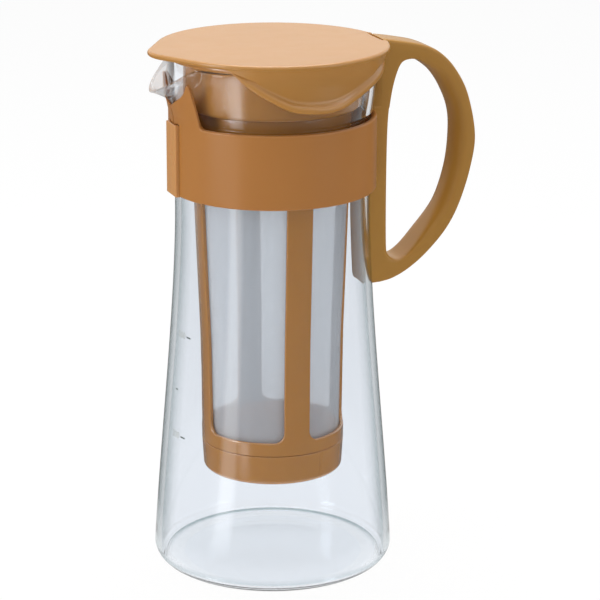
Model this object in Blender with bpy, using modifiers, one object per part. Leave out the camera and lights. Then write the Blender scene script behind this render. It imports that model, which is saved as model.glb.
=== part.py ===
# Cold brew coffee maker: a glass carafe with a plastic neck band and handle, a clasp that
# closes the band under the spout, a lift-off lid, and a lift-out strainer with a pull-off cap.
# Metres, +Z up. The carafe's axis is Z, its foot stands on z = 0, its handle points along +X
# and its spout along -X. Angles round the axis are counted from the spout.

import math

import bmesh
import bpy
from mathutils import Matrix, Vector

# Fits
GAP = 0.0003
OVERRUN = 0.004
WELD = 0.00001
SHARP_ANGLE = math.radians(35)
ROUND_STEPS = 40
CURVE_STEPS = 4
EDGE_STEPS = 1
# How far the middle of a quarter round stands in from the corner it cuts off
CORNER_INSET_SHARE = 1.0 - math.cos(math.pi / 4)

# Glass carafe
GLASS_WALL = 0.0024
FLOOR_THICKNESS = 0.0026
FOOT_R = 0.041
HEEL_R = 0.007
NECK_R = 0.0384
BODY_FALL_SHARE = 0.5
RIM_Z = 0.206
RIM_ROUND = 0.0008
MOUTH_HEIGHT = 0.022
MOUTH_FLARE = 0.0028
MOUTH_Z = RIM_Z - MOUTH_HEIGHT
MOUTH_R = NECK_R + MOUTH_FLARE
SPOUT_REACH = 0.0093
SPOUT_DIP = 0.0097
SPOUT_HALF_ANGLE = math.radians(28)
SPOUT_CURL = 8
MOUTH_RISE_SHARES = (0.25, 0.5, 0.68, 0.8, 0.88, 0.94, 1.0)
HEEL_STEPS = 3
BODY_STEPS = 7
SPOUT_STEPS = 8
SIDE_STEPS = 16

# Neck band, just below the flare of the mouth
BAND_WALL = 0.002
BAND_HEIGHT = 0.0292
BAND_DROP = 0.0007
BAND_TOP_Z = MOUTH_Z - BAND_DROP
BAND_BOTTOM_Z = BAND_TOP_Z - BAND_HEIGHT
BAND_R = NECK_R + GAP + BAND_WALL
BAND_SPLIT = 0.0006
NECK_BELOW_BAND = 0.0091
NECK_Z = BAND_BOTTOM_Z - NECK_BELOW_BAND
ARM_HALF_ANGLE = math.radians(29)
ARM_HEIGHT = 0.0165
ARM_ANGLE_SHARES = (0.0, 0.17, 0.34, 0.52, 0.655, 0.69, 0.72, 0.8, 0.865, 0.91, 1.0)
ARM_HEIGHT_SHARES = (0.39, 0.46, 0.57, 0.715, 0.92, 1.0, 0.98, 0.67, 0.39, 0.12, 0.0)
ARM_WALL = 0.0011
ARM_ROOT = 0.0009
ARM_ROW_SHARES = (0.25, 0.5, 0.75, 1.0)

# Clasp under the spout, and the rails and grooves of the band's ends
CLASP_STAND = 0.0011
CLASP_FACE_X = BAND_R + CLASP_STAND
CLASP_HALF_WIDTH = 0.0057
CLASP_PLATE = 0.0008
CLASP_LIP = 0.0028
CLASP_EDGE = 0.0003
GROOVE_WALL = 0.0009
GROOVE_FLOOR_X = NECK_R + GAP + GROOVE_WALL

# Strainer frame, mesh sleeve and bottom cap, hung from the rim
CUP_CLEARANCE = 0.0012
CUP_R = NECK_R - GLASS_WALL - CUP_CLEARANCE
CUP_DEPTH = 0.019
CUP_BOTTOM_Z = RIM_Z - CUP_DEPTH
CUP_ROUND = 0.002
FLANGE_R = MOUTH_R - GAP
FLANGE_THICKNESS = 0.002
FRAME_WALL = 0.0015
CUP_STEP = 0.0034
FRAME_TOP_R = CUP_R - CUP_STEP
SHOULDER_DROP = 0.030
FRAME_SHOULDER_Z = CUP_BOTTOM_Z - SHOULDER_DROP
WAIST_TAPER = 0.0024
FRAME_WAIST_R = FRAME_TOP_R - WAIST_TAPER
WAIST_DROP = 0.062
FRAME_WAIST_Z = FRAME_SHOULDER_Z - WAIST_DROP
END_TAPER = 0.0006
FRAME_END_R = FRAME_WAIST_R - END_TAPER
END_DROP = 0.0436
FRAME_END_Z = FRAME_WAIST_Z - END_DROP
WINDOW_DROP = 0.015
WINDOW_TOP_Z = CUP_BOTTOM_Z - WINDOW_DROP
END_RING_HEIGHT = 0.0053
WINDOW_BOTTOM_Z = FRAME_END_Z + END_RING_HEIGHT
WINDOW_CORNER = 0.004
RIB_WIDTH = 0.0106
WINDOW_PAIRS = 2
MESH_THICKNESS = 0.0004
MESH_MARGIN = 0.002
CAP_HEIGHT = 0.0124
CAP_BOTTOM_Z = FRAME_END_Z - CAP_HEIGHT
CAP_TAPER = 0.0006
CAP_BOTTOM_R = FRAME_END_R - CAP_TAPER
CAP_ROUND = 0.002
CAP_WALL = 0.0015
SPIGOT_WALL = 0.0013
SPIGOT_HEIGHT = 0.0042

# Lid, resting on the strainer's flange
LID_THICKNESS = 0.0024
LID_UNDER_Z = RIM_Z + GAP + FLANGE_THICKNESS + GAP
LID_TOP_Z = LID_UNDER_Z + LID_THICKNESS
SKIRT_WALL = 0.0012
SKIRT_COVE = 0.0023
SKIRT_COVE_HEIGHT = 0.0076
SKIRT_DROP = 0.0175
SKIRT_START_ANGLE = math.radians(48)
SKIRT_SPAN_ANGLE = math.radians(120)
SKIRT_SPAN_SHARES = (0.0, 0.03, 0.07, 0.12, 0.19, 0.27, 0.35, 0.42, 0.49, 0.56, 0.65, 0.75, 0.87, 0.95, 1.0)
SKIRT_DROP_SHARES = (0.06, 0.19, 0.36, 0.53, 0.73, 0.92, 0.985, 1.0, 0.95, 0.83, 0.68, 0.55, 0.4, 0.22, 0.06)
SKIRT_ROW_SHARES = (0.3, 0.55, 0.75, 0.9)
LIP_OUT = 0.001
LIP_HEIGHT = 0.004
LIP_SHARES = ((0.0, 0.0), (0.15, 0.8), (0.4, 1.0), (0.7, 0.6), (1.0, 0.0))
LID_OVERHANG = 0.0005
LID_R = MOUTH_R + GAP + SKIRT_WALL + SKIRT_COVE + LID_OVERHANG
LID_EDGE = 0.0011
LID_TIP_OVERHANG = 0.0004
LID_TIP_R = MOUTH_R + SPOUT_REACH + LID_TIP_OVERHANG
LID_TIP_ROUND = 0.016
LID_NOTCH_MARGIN = 0.0019
LID_NOTCH_X = MOUTH_R + LID_NOTCH_MARGIN
LID_NOTCH_CLEARANCE = 0.0006
LID_ARC_STEPS = 28
LID_TIP_STEPS = 6
PLUG_CLEARANCE = 0.0005
PLUG_R = CUP_R - FRAME_WALL - PLUG_CLEARANCE
PLUG_WALL = 0.0012
PLUG_DEPTH = 0.0056

# Handle, its top level with the lid's
HANDLE_HALF_WIDTH = 0.00725
HANDLE_EDGE = 0.0018
HANDLE_SPAN = 0.0384
SPINE_THICKNESS = 0.0043
SPINE_FACE_X = MOUTH_R + SPINE_THICKNESS
HANDLE_REACH = SPINE_FACE_X + HANDLE_SPAN
SPINE_DROP = 0.0424
HANDLE_FOOT_Z = BAND_BOTTOM_Z - SPINE_DROP
SPINE_CLEARANCE = 0.0007
SPINE_ROOT = 0.0012
SPINE_FIT = 0.000375
SPINE_STEPS = 10
GRIP_OUTER_SHARES = (
    (0.17, 0.985), (0.41, 0.963), (0.60, 0.925), (0.77, 0.855), (0.91, 0.75), (1.0, 0.585),
    (0.955, 0.45), (0.84, 0.309), (0.70, 0.207), (0.50, 0.12), (0.29, 0.055), (0.09, 0.015),
)
GRIP_INNER_SHARES = (
    (0.0, 0.19), (0.0, 0.60), (0.035, 0.77), (0.113, 0.892), (0.237, 0.912), (0.395, 0.895),
    (0.563, 0.85), (0.70, 0.77), (0.79, 0.68), (0.811, 0.585), (0.78, 0.46), (0.69, 0.34),
    (0.573, 0.255), (0.415, 0.177), (0.267, 0.118), (0.148, 0.094), (0.035, 0.115),
)


def clear_scene():
    for leftover in list(bpy.data.objects):
        bpy.data.objects.remove(leftover, do_unlink=True)


def new_collection(name):
    collection = bpy.data.collections.new(name)
    bpy.context.scene.collection.children.link(collection)
    return collection


def new_material(name, colour, roughness, alpha=1.0):
    material = bpy.data.materials.new(name)
    material.use_nodes = True
    shader = material.node_tree.nodes["Principled BSDF"]
    shader.inputs["Base Color"].default_value = (*colour, 1.0)
    shader.inputs["Roughness"].default_value = roughness
    shader.inputs["Metallic"].default_value = 0.0
    shader.inputs["Alpha"].default_value = alpha
    return material


def add_object(name, data, collection, material=None):
    thing = bpy.data.objects.new(name, data)
    collection.objects.link(thing)
    if material:
        data.materials.append(material)
    return thing


def make_cutter(thing):
    thing.hide_render = True
    thing.display_type = "WIRE"


def shade(mesh):
    mesh.shade_smooth()
    mesh.set_sharp_from_angle(angle=SHARP_ANGLE)


def boolean(thing, tool, operation):
    modifier = thing.modifiers.new(tool.name, "BOOLEAN")
    modifier.operation = operation
    modifier.object = tool


def polar(radius, angle, height):
    return Vector((-radius * math.cos(angle), radius * math.sin(angle), height))


def half_turn(angles):
    # Angles from one side of the spout round to the other, mirrored about its plane.
    return list(angles) + [math.tau - angle for angle in reversed(angles) if 0 < angle < math.pi]


def loft(name, rings, collection, material=None):
    # Rings of equal point counts, joined in order, with a flat face on the first and the last.
    bm = bmesh.new()
    rows = [[bm.verts.new(point) for point in ring] for ring in rings]
    for lower, upper in zip(rows, rows[1:]):
        for i in range(len(lower)):
            j = (i + 1) % len(lower)
            bm.faces.new((lower[i], lower[j], upper[j], upper[i]))
    bm.faces.new(rows[0])
    bm.faces.new(rows[-1])
    bmesh.ops.recalc_face_normals(bm, faces=bm.faces)
    mesh = bpy.data.meshes.new(name)
    bm.to_mesh(mesh)
    bm.free()
    shade(mesh)
    return add_object(name, mesh, collection, material)


def turned(name, profile, closed, collection, material=None):
    # A profile in the XZ plane, its outer side listed from the top down, turned about Z.
    mesh = bpy.data.meshes.new(name)
    edges = [(i, i + 1) for i in range(len(profile) - 1)]
    if closed:
        edges.append((len(profile) - 1, 0))
    mesh.from_pydata([(radius, 0.0, height) for radius, height in profile], edges, [])
    thing = add_object(name, mesh, collection, material)
    screw = thing.modifiers.new("turn", "SCREW")
    screw.steps = ROUND_STEPS
    screw.render_steps = ROUND_STEPS
    screw.use_merge_vertices = True
    screw.merge_threshold = WELD
    screw.use_smooth_shade = True
    return thing


def flat_curve(name, outlines, half_depth, edge, collection):
    # Closed outlines of (x, y, is_smooth) points, filled, thickened and rounded at the edge.
    curve = bpy.data.curves.new(name, "CURVE")
    curve.dimensions = "2D"
    curve.fill_mode = "BOTH"
    curve.extrude = half_depth - edge
    curve.bevel_depth = edge
    curve.bevel_resolution = EDGE_STEPS
    curve.offset = -edge
    curve.resolution_u = CURVE_STEPS
    for outline in outlines:
        spline = curve.splines.new("BEZIER")
        spline.use_cyclic_u = True
        spline.bezier_points.add(len(outline) - 1)
        for point, (x, y, is_smooth) in zip(spline.bezier_points, outline):
            point.co = (x, y, 0.0)
            kind = "AUTO" if is_smooth else "VECTOR"
            point.handle_left_type = kind
            point.handle_right_type = kind
    return add_object(name, curve, collection)


def solid_from_curve(curve_object, collection, material=None):
    bpy.context.view_layer.update()
    depsgraph = bpy.context.evaluated_depsgraph_get()
    mesh = bpy.data.meshes.new_from_object(curve_object.evaluated_get(depsgraph))
    bm = bmesh.new()
    bm.from_mesh(mesh)
    bmesh.ops.remove_doubles(bm, verts=bm.verts, dist=WELD)
    bmesh.ops.recalc_face_normals(bm, faces=bm.faces)
    bm.to_mesh(mesh)
    bm.free()
    mesh.materials.clear()
    shade(mesh)
    name = curve_object.name
    matrix = curve_object.matrix_world.copy()
    bpy.data.objects.remove(curve_object, do_unlink=True)
    thing = add_object(name, mesh, collection, material)
    thing.name = name
    thing.matrix_world = matrix
    return thing


def spout_weight(angle):
    # 1 in the spout's middle, 0 from its sides on round the mouth.
    turn = min(angle, math.tau - angle)
    share = min(turn / SPOUT_HALF_ANGLE, 1.0)
    return math.cos(share * math.pi / 2) ** 2


def mouth_height(angle):
    return RIM_Z - MOUTH_Z - SPOUT_DIP * spout_weight(angle)


def mouth_radius(rise, angle):
    flare = (MOUTH_R - NECK_R) * rise
    return NECK_R + flare + SPOUT_REACH * spout_weight(angle) * rise ** SPOUT_CURL


def body_radius(height):
    # The wall leans in from the heel to the neck, and the lean dies away near the neck.
    share = min((height - HEEL_R) / (NECK_Z - HEEL_R), 1.0)
    belly_r = FOOT_R + HEEL_R
    return NECK_R + (belly_r - NECK_R) * (1.0 - share) ** (1.0 + BODY_FALL_SHARE * share)


def glass_radius(height, angle):
    if height <= MOUTH_Z:
        return body_radius(height)
    rise = math.sqrt(min((height - MOUTH_Z) / mouth_height(angle), 1.0))
    return mouth_radius(rise, angle)


def side_angles():
    # From the spout's middle round to the handle, closer together where the spout bulges.
    fine = [SPOUT_HALF_ANGLE * i / SPOUT_STEPS for i in range(SPOUT_STEPS)]
    plain_angle = math.pi - SPOUT_HALF_ANGLE
    return fine + [SPOUT_HALF_ANGLE + plain_angle * i / SIDE_STEPS for i in range(SIDE_STEPS + 1)]


def build_carafe(collection):
    angles = half_turn(side_angles())
    rings = []

    def add_ring(radius_at, height_at):
        rings.append([polar(radius_at(angle), angle, height_at(angle)) for angle in angles])

    def heel(turn, radius, floor):
        add_ring(lambda angle: FOOT_R + radius * math.sin(turn),
                 lambda angle: floor + radius - radius * math.cos(turn))

    def wall(height, inset):
        add_ring(lambda angle: body_radius(height) - inset, lambda angle: height)

    def mouth(rise, inset):
        drop = RIM_ROUND if rise == 1.0 else 0.0
        add_ring(lambda angle: mouth_radius(rise, angle) - inset,
                 lambda angle: MOUTH_Z + mouth_height(angle) * rise ** 2 - drop)

    turns = [math.pi / 2 * i / HEEL_STEPS for i in range(HEEL_STEPS + 1)]
    heights = [HEEL_R + (NECK_Z - HEEL_R) * i / BODY_STEPS for i in range(1, BODY_STEPS + 1)]
    heights.append(MOUTH_Z)
    for turn in turns:
        heel(turn, HEEL_R, 0.0)
    for height in heights:
        wall(height, 0.0)
    for rise in MOUTH_RISE_SHARES:
        mouth(rise, 0.0)
    add_ring(lambda angle: mouth_radius(1.0, angle) - GLASS_WALL / 2,
             lambda angle: MOUTH_Z + mouth_height(angle))
    for rise in reversed(MOUTH_RISE_SHARES):
        mouth(rise, GLASS_WALL)
    for height in reversed(heights):
        wall(height, GLASS_WALL)
    for turn in reversed(turns):
        heel(turn, HEEL_R - GLASS_WALL, FLOOR_THICKNESS)
    glass = new_material("glass", (0.93, 0.96, 0.97), 0.02, alpha=0.25)
    return loft("carafe", rings, collection, glass)


def interpolate(x, xs, ys):
    for x0, x1, y0, y1 in zip(xs, xs[1:], ys, ys[1:]):
        if x <= x1:
            return y0 + (y1 - y0) * (x - x0) / (x1 - x0)
    return ys[-1]


def band_top(angle):
    turn = min(angle, math.tau - angle)
    share = min(turn / ARM_HALF_ANGLE, 1.0)
    return BAND_TOP_Z + ARM_HEIGHT * interpolate(share, ARM_ANGLE_SHARES, ARM_HEIGHT_SHARES)


def build_band(collection, tools):
    split_angle = math.asin(BAND_SPLIT / 2 / BAND_R)
    arms = {ARM_HALF_ANGLE * share for share in ARM_ANGLE_SHARES}
    angles = sorted(arms.union(side_angles()))
    sections = []
    for angle in half_turn([split_angle] + angles[1:]):
        root = BAND_TOP_Z - ARM_ROOT
        top = band_top(angle)
        heights = [BAND_BOTTOM_Z, root] + [root + (top - root) * share for share in ARM_ROW_SHARES]
        inner = [glass_radius(height, angle) + GAP for height in heights]
        outer = [max(radius + ARM_WALL, BAND_R) for radius in inner]
        section = [polar(radius, angle, height) for radius, height in zip(outer, heights)]
        section += [polar(radius, angle, height) for radius, height in reversed(list(zip(inner, heights)))]
        sections.append(section)
    plastic = new_material("handle_plastic", (0.35, 0.15, 0.055), 0.35)
    band = loft("handle_band", sections, collection, plastic)
    boolean(band, build_handle(tools), "UNION")
    for side in (-1, 1):
        boolean(band, build_groove(tools, side), "DIFFERENCE")
    return band


def build_handle(tools):
    def place(across, up):
        x = SPINE_FACE_X + (HANDLE_REACH - SPINE_FACE_X) * across
        return x, HANDLE_FOOT_Z + (LID_TOP_Z - HANDLE_FOOT_Z) * up

    back_x = MOUTH_R + SPINE_CLEARANCE
    end_x = LID_NOTCH_X + GAP
    ledge_z = LID_UNDER_Z - GAP
    root_x = NECK_R - SPINE_ROOT
    outer = [(end_x, LID_TOP_Z, False)]
    outer += [(*place(across, up), True) for across, up in GRIP_OUTER_SHARES]
    outer += [
        (back_x, HANDLE_FOOT_Z, False), (root_x, HANDLE_FOOT_Z + SPINE_ROOT, False),
        (root_x, MOUTH_Z, False), (back_x, MOUTH_Z, False),
        (back_x, ledge_z, False), (end_x, ledge_z, False),
    ]
    inner = [(*place(across, up), True) for across, up in GRIP_INNER_SHARES]
    curve = flat_curve("handle", [outer, inner], HANDLE_HALF_WIDTH, HANDLE_EDGE, tools)
    curve.rotation_euler = (math.pi / 2, 0.0, 0.0)
    handle = solid_from_curve(curve, tools)
    make_cutter(handle)
    boolean(handle, build_neck_clearance(tools), "DIFFERENCE")
    return handle


def build_neck_clearance(tools):
    # The glass round the handle's foot, a little fuller than the band's own bore.
    low = HANDLE_FOOT_Z - OVERRUN
    high = MOUTH_Z + OVERRUN
    heights = [high + (low - high) * i / SPINE_STEPS for i in range(SPINE_STEPS + 1)]
    profile = [(0.0, high)]
    profile += [(glass_radius(height, math.pi) + SPINE_FIT, height) for height in heights]
    profile.append((0.0, low))
    cutter = turned("neck_clearance", profile, False, tools)
    make_cutter(cutter)
    return cutter


def build_groove(tools, side):
    # Beside each rail the band's end is thinned, so that the clasp's lip can run there.
    inner_y = CLASP_LIP - GAP / 2
    outer_y = CLASP_HALF_WIDTH + GAP
    low = BAND_BOTTOM_Z - OVERRUN
    high = BAND_TOP_Z - ARM_ROOT + GAP
    bpy.ops.mesh.primitive_cube_add(size=1.0)
    cutter = bpy.context.object
    cutter.name = "groove_left" if side < 0 else "groove_right"
    depth = CLASP_FACE_X + OVERRUN - GROOVE_FLOOR_X
    cutter.data.transform(Matrix.Diagonal((depth, outer_y - inner_y, high - low, 1.0)))
    middle_y = side * (inner_y + outer_y) / 2
    cutter.location = (-GROOVE_FLOOR_X - depth / 2, middle_y, (low + high) / 2)
    for owner in list(cutter.users_collection):
        owner.objects.unlink(cutter)
    tools.objects.link(cutter)
    make_cutter(cutter)
    return cutter


def build_clasp(collection):
    # A flat plate with two lips behind it, drawn from above and raised to the band's height.
    height = BAND_TOP_Z - ARM_ROOT - BAND_BOTTOM_Z
    lip_back = CLASP_FACE_X - GROOVE_FLOOR_X - GAP
    lip_y = CLASP_LIP + GAP / 2
    outline = [
        (0.0, -CLASP_HALF_WIDTH), (0.0, CLASP_HALF_WIDTH), (lip_back, CLASP_HALF_WIDTH),
        (lip_back, lip_y), (CLASP_PLATE, lip_y), (CLASP_PLATE, -lip_y), (lip_back, -lip_y),
        (lip_back, -CLASP_HALF_WIDTH),
    ]
    points = [(x, y, False) for x, y in outline]
    curve = flat_curve("band_clasp", [points], height / 2, CLASP_EDGE, collection)
    curve.location = (-CLASP_FACE_X, 0.0, BAND_BOTTOM_Z + height / 2)
    plastic = new_material("clasp_plastic", (0.42, 0.19, 0.075), 0.3)
    return solid_from_curve(curve, collection, plastic)


def lid_outline():
    # A circle drawn out to a small round tip over the spout, with a flat notch at the handle.
    notch_y = HANDLE_HALF_WIDTH + LID_NOTCH_CLEARANCE
    notch_angle = math.asin(notch_y / LID_R)
    tip_x = LID_TIP_R - LID_TIP_ROUND
    tangent = math.acos((LID_R - LID_TIP_ROUND) / tip_x)
    half = [(LID_NOTCH_X, notch_y)]
    for i in range(LID_ARC_STEPS + 1):
        angle = notch_angle + (math.pi - tangent - notch_angle) * i / LID_ARC_STEPS
        half.append((LID_R * math.cos(angle), LID_R * math.sin(angle)))
    for i in range(LID_TIP_STEPS):
        angle = math.pi - tangent * (1.0 - i / LID_TIP_STEPS)
        half.append((LID_TIP_ROUND * math.cos(angle) - tip_x, LID_TIP_ROUND * math.sin(angle)))
    return half + [(-LID_TIP_R, 0.0)] + [(x, -y) for x, y in reversed(half)]


def build_lid(collection, tools):
    points = [(x, y, False) for x, y in lid_outline()]
    curve = flat_curve("lid", [points], LID_THICKNESS / 2, LID_EDGE, collection)
    curve.location = (0.0, 0.0, LID_TOP_Z - LID_THICKNESS / 2)
    plastic = new_material("lid_plastic", (0.70, 0.45, 0.30), 0.4)
    lid = solid_from_curve(curve, collection, plastic)
    for side in (-1, 1):
        boolean(lid, build_skirt(tools, side), "UNION")
    boolean(lid, build_plug(tools), "UNION")
    return lid


def build_skirt(tools, side):
    # One finger skirt, outside the glass, cut low in its middle with a rounded lip.
    under_z = LID_UNDER_Z
    top_z = under_z + LID_THICKNESS / 2
    inner_r = MOUTH_R + GAP
    wall_r = inner_r + SKIRT_WALL
    sections = []
    for span, drop in zip(SKIRT_SPAN_SHARES, SKIRT_DROP_SHARES):
        angle = side * (SKIRT_START_ANGLE + SKIRT_SPAN_ANGLE * span)
        low_z = under_z - SKIRT_DROP * drop
        lip_height = min(LIP_HEIGHT, (under_z - low_z) / 2)
        section = [polar(inner_r, angle, top_z), polar(inner_r, angle, low_z)]
        for up, out in LIP_SHARES:
            section.append(polar(wall_r + LIP_OUT * out * drop, angle, low_z + lip_height * up))
        for share in SKIRT_ROW_SHARES:
            height = low_z + lip_height + (under_z - low_z - lip_height) * share
            rise = max(height - under_z + SKIRT_COVE_HEIGHT, 0.0) / SKIRT_COVE_HEIGHT
            section.append(polar(wall_r + SKIRT_COVE * rise ** 2, angle, height))
        section.append(polar(wall_r + SKIRT_COVE, angle, under_z))
        section.append(polar(wall_r + SKIRT_COVE / 2, angle, top_z))
        sections.append(section)
    skirt = loft("skirt_left" if side < 0 else "skirt_right", sections, tools)
    make_cutter(skirt)
    return skirt


def build_plug(tools):
    high = LID_TOP_Z - LID_THICKNESS / 2
    low = LID_UNDER_Z - PLUG_DEPTH
    inner = PLUG_R - PLUG_WALL
    plug = turned("lid_plug", [(PLUG_R, high), (PLUG_R, low), (inner, low), (inner, high)], True, tools)
    make_cutter(plug)
    return plug


def frame_radius(height):
    heights = (FRAME_END_Z, FRAME_WAIST_Z, FRAME_SHOULDER_Z, CUP_BOTTOM_Z)
    radii = (FRAME_END_R, FRAME_WAIST_R, FRAME_TOP_R, FRAME_TOP_R)
    return interpolate(height, heights, radii)


def build_strainer_frame(collection, tools):
    seat_z = RIM_Z + GAP
    top_z = seat_z + FLANGE_THICKNESS
    step_z = CUP_BOTTOM_Z + FRAME_WALL
    inset = CUP_ROUND * CORNER_INSET_SHARE
    tube = (CUP_BOTTOM_Z, FRAME_SHOULDER_Z, FRAME_WAIST_Z, FRAME_END_Z)
    profile = [
        (FLANGE_R, top_z), (FLANGE_R, seat_z), (CUP_R, seat_z), (CUP_R, CUP_BOTTOM_Z + CUP_ROUND),
        (CUP_R - inset, CUP_BOTTOM_Z + inset), (CUP_R - CUP_ROUND, CUP_BOTTOM_Z),
    ]
    profile += [(frame_radius(height), height) for height in tube]
    profile += [(frame_radius(height) - FRAME_WALL, height) for height in reversed(tube[1:])]
    profile += [(FRAME_TOP_R - FRAME_WALL, step_z), (CUP_R - FRAME_WALL, step_z), (CUP_R - FRAME_WALL, top_z)]
    plastic = new_material("strainer_plastic", (0.40, 0.18, 0.07), 0.35)
    frame = turned("strainer_frame", profile, True, collection, plastic)
    for index in range(WINDOW_PAIRS):
        boolean(frame, build_window(tools, index), "DIFFERENCE")
    return frame


def build_window(tools, index):
    # A tapering window seen from outside, cut through both walls between two ribs.
    def half_chord(height):
        radius = frame_radius(height)
        rib_half_angle = math.asin(RIB_WIDTH / 2 / radius)
        return radius * math.sin(math.pi / (2 * WINDOW_PAIRS) - rib_half_angle)

    low = half_chord(WINDOW_BOTTOM_Z)
    shoulder = half_chord(FRAME_SHOULDER_Z)
    corner = WINDOW_CORNER
    inset = corner * CORNER_INSET_SHARE
    half = [
        (low - corner, WINDOW_BOTTOM_Z), (low - inset, WINDOW_BOTTOM_Z + inset),
        (low, WINDOW_BOTTOM_Z + corner), (shoulder, FRAME_SHOULDER_Z), (shoulder, WINDOW_TOP_Z - corner),
        (shoulder - inset, WINDOW_TOP_Z - inset), (shoulder - corner, WINDOW_TOP_Z),
    ]
    outline = half + [(-x, z) for x, z in reversed(half)]
    points = [(x, z, False) for x, z in outline]
    curve = flat_curve(f"window_{index}", [points], FRAME_TOP_R + OVERRUN, 0.0, tools)
    turn = math.pi / (2 * WINDOW_PAIRS) + math.pi / WINDOW_PAIRS * index
    curve.rotation_euler = (math.pi / 2, 0.0, turn)
    window = solid_from_curve(curve, tools)
    make_cutter(window)
    return window


def build_mesh(collection):
    # The filter sleeve lies against the inside of the frame and covers all its windows.
    low = WINDOW_BOTTOM_Z - MESH_MARGIN / 4
    high = WINDOW_TOP_Z + MESH_MARGIN
    heights = (high, FRAME_SHOULDER_Z, FRAME_WAIST_Z, low)
    inset = FRAME_WALL + GAP
    profile = [(frame_radius(height) - inset, height) for height in heights]
    profile += [(frame_radius(height) - inset - MESH_THICKNESS, height) for height in reversed(heights)]
    fabric = new_material("filter_mesh", (0.62, 0.64, 0.66), 0.7)
    return turned("strainer_mesh", profile, True, collection, fabric)


def build_cap(collection):
    # A shallow cup whose spigot pushes up inside the frame's end ring.
    top_z = FRAME_END_Z - GAP
    spigot_r = FRAME_END_R - FRAME_WALL - GAP
    spigot_z = top_z + SPIGOT_HEIGHT
    floor_z = CAP_BOTTOM_Z + CAP_WALL
    bore_r = spigot_r - SPIGOT_WALL
    inset = CAP_ROUND * CORNER_INSET_SHARE
    profile = [
        (0.0, floor_z), (bore_r, floor_z),
        (bore_r, spigot_z), (spigot_r, spigot_z), (spigot_r, top_z), (FRAME_END_R, top_z),
        (CAP_BOTTOM_R, CAP_BOTTOM_Z + CAP_ROUND), (CAP_BOTTOM_R - inset, CAP_BOTTOM_Z + inset),
        (CAP_BOTTOM_R - CAP_ROUND, CAP_BOTTOM_Z), (0.0, CAP_BOTTOM_Z),
    ]
    plastic = new_material("cap_plastic", (0.40, 0.18, 0.07), 0.35)
    return turned("strainer_cap", profile, False, collection, plastic)


def add_joint_empty(name, location, collection, parent=None):
    empty = add_object(name, None, collection)
    empty.location = location if parent is None else Vector(location) - parent.location
    empty.parent = parent
    return empty


def hang(thing, empty):
    # The piece keeps its place, and its own origin moves to its joint's empty.
    bpy.context.view_layer.update()
    thing.data.transform(empty.matrix_world.inverted() @ thing.matrix_world)
    thing.matrix_basis = Matrix.Identity(4)
    thing.parent = empty


def main():
    clear_scene()
    parts = new_collection("cold_brew_coffee_maker")
    tools = new_collection("cutters")
    build_carafe(parts)
    build_band(parts, tools)
    clasp = build_clasp(parts)
    lid = build_lid(parts, tools)
    frame = build_strainer_frame(parts, tools)
    mesh = build_mesh(parts)
    cap = build_cap(parts)

    strainer_place = (0.0, 0.0, RIM_Z + GAP)
    lid_place = (0.0, 0.0, LID_UNDER_Z)
    cap_place = (0.0, 0.0, FRAME_END_Z - GAP)
    clasp_slide = add_joint_empty("clasp_slide", clasp.location, parts)
    strainer_lift = add_joint_empty("strainer_lift", strainer_place, parts)
    lid_lift = add_joint_empty("lid_lift", lid_place, parts, strainer_lift)
    cap_pull = add_joint_empty("cap_pull", cap_place, parts, strainer_lift)
    hang(clasp, clasp_slide)
    hang(frame, strainer_lift)
    hang(mesh, strainer_lift)
    hang(lid, lid_lift)
    hang(cap, cap_pull)


main()
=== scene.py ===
# The looks of a cold brew coffee maker: clear glass carafe, moulded caramel plastic, fine filter cloth.
# Every surface is worked out with numpy as a function of two parameters, in metres, in the model's own frame:
# the carafe's axis is Z, its foot stands on z = 0, the handle points along +X and the spout along -X.
import math

import bmesh
import bpy
import numpy as np
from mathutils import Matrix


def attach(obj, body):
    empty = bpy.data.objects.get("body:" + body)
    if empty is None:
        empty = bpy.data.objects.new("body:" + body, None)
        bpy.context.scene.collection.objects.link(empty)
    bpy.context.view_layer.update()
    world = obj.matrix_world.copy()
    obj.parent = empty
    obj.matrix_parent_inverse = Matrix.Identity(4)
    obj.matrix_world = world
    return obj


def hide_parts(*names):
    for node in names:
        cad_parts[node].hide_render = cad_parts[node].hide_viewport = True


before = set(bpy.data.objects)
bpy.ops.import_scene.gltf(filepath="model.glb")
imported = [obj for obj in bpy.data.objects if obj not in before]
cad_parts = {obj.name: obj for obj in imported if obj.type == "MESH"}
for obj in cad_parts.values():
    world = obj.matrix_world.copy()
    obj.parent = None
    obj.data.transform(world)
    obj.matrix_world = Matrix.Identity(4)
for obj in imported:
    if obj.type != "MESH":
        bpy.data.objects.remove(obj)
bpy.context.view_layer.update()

tau = 2 * math.pi
gap = 0.0003          # clearance between pieces that fit each other
weldDistance = 0.000002


# Shared tools

def polar(radius, angle, height):
    # Angle is counted from the spout: x = -r cos a, y = r sin a.
    radius, angle, height = np.broadcast_arrays(radius, angle, height)
    return np.stack([-radius * np.cos(angle), radius * np.sin(angle), height], axis=-1)


def smoothCurve(x, xs, ys):
    # A cubic through the points; its slope at each point is the mean slope of its neighbours.
    xs, ys = np.asarray(xs, float), np.asarray(ys, float)
    slopes = np.gradient(ys, xs)
    i = np.clip(np.searchsorted(xs, x, side="right") - 1, 0, len(xs) - 2)
    step = xs[i + 1] - xs[i]
    t = np.clip((x - xs[i]) / step, 0, 1)
    start = (2 * t ** 3 - 3 * t ** 2 + 1) * ys[i] + (t ** 3 - 2 * t ** 2 + t) * step * slopes[i]
    return start + (3 * t ** 2 - 2 * t ** 3) * ys[i + 1] + (t ** 3 - t ** 2) * step * slopes[i + 1]


def arc(start, end, count):
    # Angles in degrees from start to end, as sines and cosines of a unit circle.
    turn = np.radians(np.linspace(start, end, count))
    return np.cos(turn), np.sin(turn)


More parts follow.
